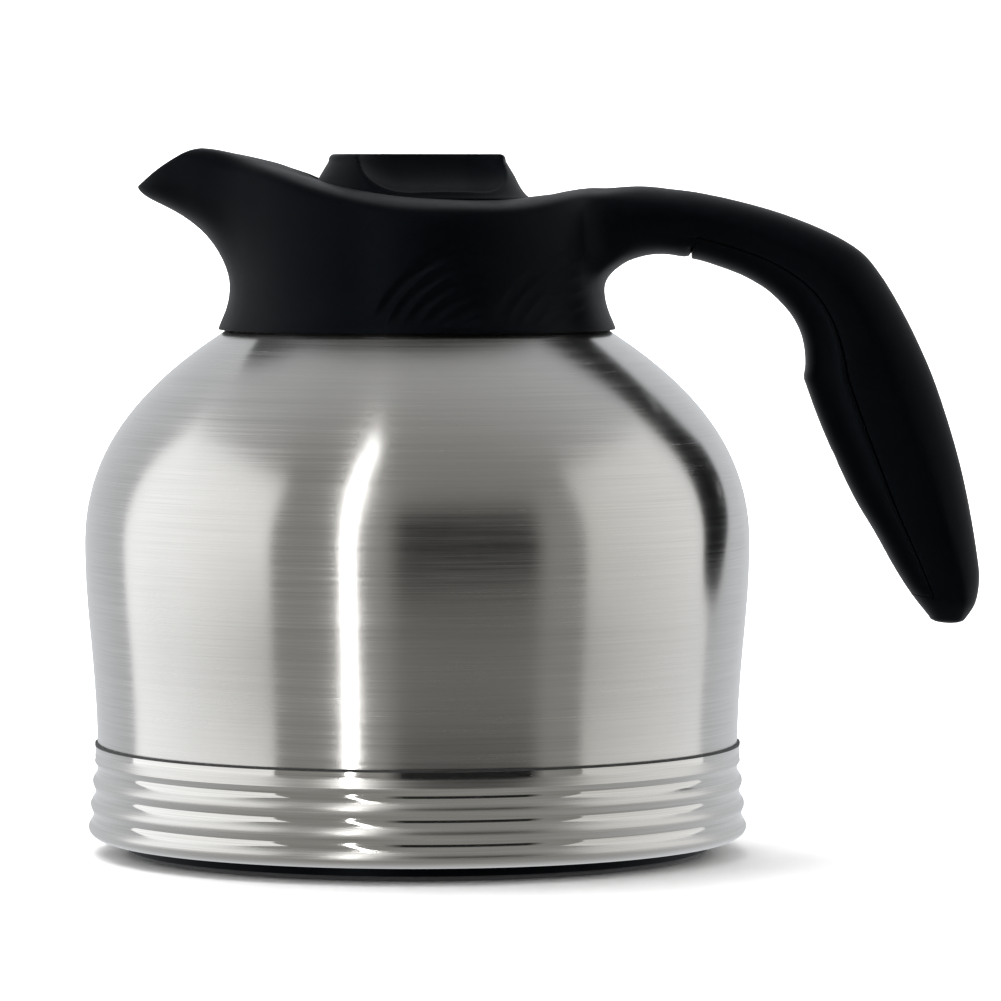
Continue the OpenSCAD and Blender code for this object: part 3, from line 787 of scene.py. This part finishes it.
def grow_handle_root(piece):
    """Opens the collar's wall at the handle and carries the open edge out along the root."""
    mesh = bmesh.from_edit_mesh(piece.data)
    bpy.ops.mesh.select_mode(type="FACE")
    bpy.ops.mesh.select_all(action="DESELECT")
    for face in mesh.faces:
        centre = face.calc_center_median() / MM
        outside = math.hypot(centre.x, centre.y) > 48.6 and 151 < centre.z < 174.6
        if outside and centre.x > 0 and abs(math.degrees(math.atan2(centre.y, centre.x))) < 22:
            face.select = True
    bmesh.update_edit_mesh(piece.data)
    bpy.ops.mesh.delete(type="FACE")
    bpy.ops.mesh.select_mode(type="VERT")
    ring = open_ring(piece, ROOT_LOW)
    for t in (2.0, 2.6, 3.1, CAGE_END):
        ring = extrude_ring(piece, ring, handle_ring(t, len(ring)))


def handle_stations():
    """Stations of the fine handle beyond the cage, with pairs where the cover begins and ends."""
    before_cover = (3.6, 3.8, 3.93, 3.98)
    cover_start = 4.03
    after_cover = (COVER_LAST, 18.1, 18.3, 18.6, 18.85, HANDLE_END)
    count = 78
    length = COVER_LAST - 0.06 - cover_start
    under_cover = [3.99] + [cover_start + length * i / count for i in range(count)] + [COVER_LAST - 0.03]
    return ([(t, False) for t in before_cover] + [(t, True) for t in under_cover]
            + [(t, False) for t in after_cover])


TIP_LENGTH = 1.5


def close_tip(piece, ring):
    """Rounds the handle's end over with a few shrinking loops and a last point."""
    count = len(ring)
    centre = Vector(handle_place(HANDLE_END, 0.5, 0))
    out = Vector((-0.15, 0, -1)).normalized() * TIP_LENGTH
    last = [Vector(p) for p in handle_ring(HANDLE_END, count)]
    for angle in (25, 50, 72, 86):
        a = math.radians(angle)
        places = [centre + (p - centre) * math.cos(a) + out * math.sin(a) for p in last]
        ring = extrude_ring(piece, ring, places)
    mesh = bmesh.from_edit_mesh(piece.data)
    mesh.verts.ensure_lookup_table()
    bpy.ops.mesh.select_all(action="DESELECT")
    for index in ring:
        mesh.verts[index].select = True
    mesh.select_flush(True)
    bpy.ops.mesh.merge(type="CENTER")


# Two sets of flutes: each curves round a centre (x, z) between two radii, at a share of the full depth.
FLUTE_SETS = ((21, 127.3, 12, 35.2, 1.0), (48.6, 128.8, 12, 31.8, 0.45))
FLUTE_PITCH = 3.8
FLUTE_DEPTH = 0.7
FLUTES_FOOT_Z = 139


def flute_depth(x, z):
    """Depth of the shallow curved flutes on the collar's flanks."""
    total = 0.0
    for centre_x, centre_z, start, end, share in FLUTE_SETS:
        away = math.hypot(x - centre_x, z - centre_z)
        if not start < away < end or x > centre_x:
            continue
        rise = math.degrees(math.atan2(z - centre_z, centre_x - x))
        fade = smooth_step((84 - rise) / 28) * smooth_step((rise - 18) / 20) * smooth_step((away - start) / 4)
        total = max(total, share * fade * abs(math.sin(math.pi * (end - away) / FLUTE_PITCH)))
    return total


def cut_flutes(piece):
    """Adds points on the collar's flanks and presses the flutes in."""
    mesh = edit(piece)
    bpy.ops.mesh.select_mode(type="FACE")
    bpy.ops.mesh.select_all(action="DESELECT")
    for face in mesh.faces:
        centre = face.calc_center_median() / MM
        radius = math.hypot(centre.x, centre.y)
        if radius > 48.9 and abs(centre.y) > 20 and -24 < centre.x < 44 and FLUTES_FOOT_Z < centre.z < 169:
            face.select = True
    bmesh.update_edit_mesh(piece.data)
    bpy.ops.mesh.subdivide(number_cuts=3, smoothness=1.0)
    mesh = bmesh.from_edit_mesh(piece.data)
    for vert in mesh.verts:
        x, y, z = vert.co / MM
        radius = math.hypot(x, y)
        if radius > 48.6 and abs(y) > 20 and FLUTES_FOOT_Z < z < 169:
            depth = FLUTE_DEPTH * flute_depth(x, z) * smooth_step((z - FLUTES_FOOT_Z) / 3)
            vert.co -= Vector((x, y, 0)).normalized() * depth * MM
    bpy.ops.mesh.select_mode(type="VERT")
    bmesh.update_edit_mesh(piece.data)
    leave_edit()


def make_collar():
    collar = cage_collar()
    subdivide_surface(collar, 2)
    edit(collar)
    ring = open_ring(collar, handle_place(CAGE_END, 0, 0))
    for t, recessed in handle_stations():
        ring = extrude_ring(collar, ring, handle_ring(t, len(ring), recessed))
    close_tip(collar, ring)
    smooth_root(collar)
    leave_edit()
    outside_out(collar)
    cut_flutes(collar)
    smooth_shading(collar, 38)
    return collar


# Just inside the collar's outer skin: everything further out belongs to the skin or the handle.
WAIST_R = 48.4


def smooth_root(piece):
    """Evens out the join between the cage's surface and the fine handle."""
    start = handle_place(3.1, 0.5, 0)[0]
    end = handle_place(3.93, 0.5, 0)[0]
    for low, high, floor_z, top_z, passes in ((start, end, 140, 180, 6), (44, 60, 156, 173.5, 12)):
        mesh = bmesh.from_edit_mesh(piece.data)
        bpy.ops.mesh.select_all(action="DESELECT")
        for vert in mesh.verts:
            x, y, z = vert.co / MM
            vert.select = low < x < high and floor_z < z < top_z and math.hypot(x, y) > WAIST_R
        mesh.select_flush(True)
        bpy.ops.mesh.vertices_smooth(factor=0.5, repeat=passes)


COVER_WALL = 3.0

# The screws' holes: radius and the two depths from the cover's face.
HEAD_HOLE = (3.3, -2, 1.4)
SHAFT_HOLE = (1.7, 1, 5)


def cover_ring(t, count):
    """The cover's wall: round the inner side of the handle, and back inside it."""
    def arc(inset, reverse):
        low, high = 0.0, math.pi / 2
        for _ in range(24):
            middle = (low + high) / 2
            if section_uv(t, middle, inset)[0] < COVER_PART:
                low = middle
            else:
                high = middle
        angles = [-low + 2 * low * i / count for i in range(count + 1)]
        if reverse:
            angles.reverse()
        return [handle_place(t, *section_uv(t, a, inset)) for a in angles]
    return arc(0.0, False) + arc(COVER_WALL, True)


def drill(piece, station, radius, low, high):
    """Cuts a round hole into the handle's inner face, square to it, between two depths."""
    before, here, after = (Vector((HANDLE[station + i][2], 0, HANDLE[station + i][3])) for i in (-1, 0, 1))
    inward = Vector((before.z - after.z, 0, after.x - before.x)).normalized()
    centre = here + inward * (low + high) / 2
    turn = inward.to_track_quat("Z", "Y").to_euler()
    clear_selection()
    bpy.ops.mesh.primitive_cylinder_add(vertices=32, radius=radius * MM, depth=(high - low) * MM,
                                        location=centre * MM, rotation=turn)
    cutter = bpy.context.object
    apply_modifier(piece, "BOOLEAN", operation="DIFFERENCE", object=cutter, solver="EXACT")
    bpy.data.objects.remove(cutter)


def make_cover():
    count = 66
    start = COVER_FIRST - 0.015
    length = COVER_LAST - COVER_FIRST - 0.015
    rings = [cover_ring(start + length * i / count, 24) for i in range(count + 1)]
    cover = ring_loft("handle_inner_cover", rings)
    soften_edges(cover, 0.12, 2, 50)
    for station in SCREW_STATIONS:
        drill(cover, station, *HEAD_HOLE)
        drill(cover, station, *SHAFT_HOLE)
    smooth_shading(cover, 38)
    return cover


# ---- Studio, in metres ----

def only_seen_in_reflections(piece):
    piece.visible_camera = False
    piece.visible_diffuse = False
    piece.visible_shadow = False


def make_floor():
    """A pale floor that curves up behind the jug. The steel mirrors the lamps and cards, not the floor."""
    clear_selection()
    bpy.ops.mesh.primitive_plane_add(size=8)
    floor = bpy.context.object
    floor.name = "studio_floor"
    mesh = edit(floor)
    bpy.ops.mesh.select_mode(type="EDGE")
    for edge in mesh.edges:
        edge.select = all(v.co.y > 3.9 for v in edge.verts)
    bmesh.update_edit_mesh(floor.data)
    bpy.ops.mesh.extrude_region_move(TRANSFORM_OT_translate={"value": (0, 0, 4)})
    leave_edit()
    apply_modifier(floor, "BEVEL", width=1.5, segments=16)
    smooth_shading(floor)
    finish = Finish("studio_white", Roughness=0.6)
    cloud = finish.noise(2.0, 2.0)
    finish.use("Base Color", finish.tint(cloud, (0.86, 0.86, 0.86), (0.88, 0.88, 0.88)))
    floor.data.materials.append(finish.material)
    floor.visible_glossy = False
    floor.visible_shadow = False


def faded_black():
    """Black in the middle and clear at the edges, so that the mirrored card has soft sides."""
    finish = Finish("card_black", Base_Color=(0.004, 0.004, 0.004, 1), Roughness=1.0)
    split = finish.node("ShaderNodeSeparateXYZ")
    finish.link(finish.place, split.inputs[0])
    masks = []
    for axis, fade in (("X", 0.38), ("Y", 0.3)):
        away = finish.maths("ABSOLUTE", split.outputs[axis], 0.0)
        masks.append(finish.spread(away, 1.0, 0.0, fade, 0.5))
    finish.use("Alpha", finish.maths("MULTIPLY", *masks))
    return finish.material


CARD_PLACE = (0.42, -1.25, 0.24)
CARD_TURN = 0.2
CARD_SIZE = (1.4, 1.1, 1)


def make_dark_card():
    """A black card beside the camera, which the steel's middle mirrors."""
    clear_selection()
    bpy.ops.mesh.primitive_plane_add(size=1, location=CARD_PLACE, rotation=(math.pi / 2, 0, CARD_TURN))
    card = bpy.context.object
    card.name = "dark_card"
    card.scale = CARD_SIZE
    card.data.materials.append(faded_black())
    only_seen_in_reflections(card)


def area_light(name, place, aim, size, radiance, colour=(1, 1, 1)):
    """A rectangular lamp as bright as a surface of the given radiance."""
    lamp = bpy.data.lights.new(name, "AREA")
    lamp.shape = "RECTANGLE"
    lamp.size, lamp.size_y = size
    lamp.energy = radiance * math.pi * size[0] * size[1]
    lamp.color = colour
    holder = bpy.data.objects.new(name, lamp)
    holder.location = place
    holder.rotation_euler = (Vector(aim) - Vector(place)).to_track_quat("-Z", "Y").to_euler()
    holder.visible_camera = False
    bpy.context.collection.objects.link(holder)
    return holder


def make_lights():
    area_light("softbox_left", (-1.6, -0.25, 0.55), (0, -0.25, 0.55), (2.2, 1.9), 0.93, (0.98, 0.99, 1))
    area_light("softbox_right", (1.7, 0, 0.6), (0, 0, 0.6), (2.0, 2.0), 0.52, (1, 0.99, 0.97))
    area_light("strip", (-0.61, -1.48, 1.3), (0, 0, 1.3), (0.045, 3.8), 19)
    for name, place, aim, size, radiance in (
            ("overhead", (-0.5, 0.45, 1.9), (0, 0, 0), (1.5, 1.5), 6),
            ("backdrop_light", (0, 1.4, 2.2), (0, 3.6, 0.8), (3.5, 1.5), 12)):
        area_light(name, place, aim, size, radiance).visible_glossy = False


def make_world():
    """A dim room: warm grey in front of the jug, cooler and lighter behind it."""
    world = bpy.data.worlds.new("studio")
    world.use_nodes = True
    tree = world.node_tree
    place = tree.nodes.new("ShaderNodeTexCoord")
    split = tree.nodes.new("ShaderNodeSeparateXYZ")
    back = tree.nodes.new("ShaderNodeMapRange")
    back.inputs["From Min"].default_value = -0.5
    back.inputs["From Max"].default_value = 0.8
    blend = tree.nodes.new("ShaderNodeMix")
    blend.data_type = "RGBA"
    blend.inputs["A"].default_value = (0.33, 0.325, 0.31, 1)
    blend.inputs["B"].default_value = (0.72, 0.74, 0.77, 1)
    tree.links.new(place.outputs["Generated"], split.inputs[0])
    tree.links.new(split.outputs["Y"], back.inputs["Value"])
    tree.links.new(back.outputs["Result"], blend.inputs["Factor"])
    tree.links.new(blend.outputs["Result"], tree.nodes["Background"].inputs["Color"])
    bpy.context.scene.world = world
    bpy.context.scene.view_settings.view_transform = "Standard"


CAMERA_PLACE = (0.0219, -1.7, 0.18)
CAMERA_DIP = 2.94
CAMERA_LENS = 232.1


def make_camera():
    lens = bpy.data.cameras.new("camera")
    lens.sensor_width = 36
    lens.lens = CAMERA_LENS
    lens.clip_end = 100
    holder = bpy.data.objects.new("camera", lens)
    holder.location = CAMERA_PLACE
    holder.rotation_euler = (math.radians(90 - CAMERA_DIP), 0, 0)
    bpy.context.collection.objects.link(holder)
    bpy.context.scene.camera = holder


# ---- Putting it together ----

def finish_node(names, material):
    for name in names:
        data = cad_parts[name].data
        data.materials.clear()
        data.materials.append(material)


def add_piece(piece, material, body, slot, *nodes):
    piece.data.materials.clear()
    piece.data.materials.append(material)
    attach(piece, body)
    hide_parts(*nodes)


STEEL = brushed_steel()
BAND = band_steel()
POLISHED = drawn_steel("polished_steel", (0.60, 0.59, 0.57), (0.70, 0.69, 0.67), 0.10, 0.2)
PLAIN_STEEL = drawn_steel("getter_steel", (0.36, 0.36, 0.37), (0.46, 0.46, 0.47), 0.3, 0.45)
SCREW_STEEL = drawn_steel("screw_steel", (0.55, 0.55, 0.55), (0.68, 0.68, 0.68), 0.2, 0.35)
BLACK = moulded_plastic("black_plastic", (0.0006, 0.0008, 0.0012), (0.0010, 0.0013, 0.0020), 0.36, 0.44,
                        0.055)
GREY = moulded_plastic("grey_plastic", (0.09, 0.09, 0.10), (0.13, 0.13, 0.14), 0.4, 0.5)
NATURAL = moulded_plastic("natural_plastic", (0.72, 0.70, 0.61), (0.80, 0.78, 0.70), 0.4, 0.5)
SEAM_RUBBER = soft_rubber("seam_rubber", (0.012, 0.012, 0.012), (0.02, 0.02, 0.02), 0.6)
FOOT_RUBBER = soft_rubber("foot_rubber", (0.030, 0.030, 0.032), (0.045, 0.045, 0.048), 0.7)

make_camera()
add_piece(make_outer_shell(), STEEL, "jug", "brushed_steel", "outer_shell")
add_piece(make_base_band(), BAND, "jug", "brushed_steel", "base_band")
add_piece(make_collar(), BLACK, "jug", "black_plastic", "collar_handle")
add_piece(make_cover(), BLACK, "jug", "black_plastic", "handle_cover")
add_piece(make_knob(), BLACK, "knob", "black_plastic", "knob")

finish_node(("inner_flask", "mouth_ring", "neck_ring", "vacuum_bottom", "evacuation_cap"), POLISHED)
finish_node(("getter", "base_bosses"), PLAIN_STEEL)
finish_node(("base_screws", "handle_screws", "deck_screws", "spindle_screw", "valve_spring"), SCREW_STEEL)
finish_node(("neck_insert", "stopper_body", "stopper_floor", "stopper_deck"), BLACK)
finish_node(("base_plate", "valve_disc"), BLACK)
finish_node(("knob_spindle",), GREY)
finish_node(("valve_cam", "valve_stem"), NATURAL)
finish_node(("seam_ring",), SEAM_RUBBER)
finish_node(("foot_ring",), FOOT_RUBBER)
finish_node(("neck_gasket", "stopper_seal", "valve_seal"), clear_silicone())
finish_node(("stopper_foam",), foam())

make_floor()
make_dark_card()
make_lights()
make_world()
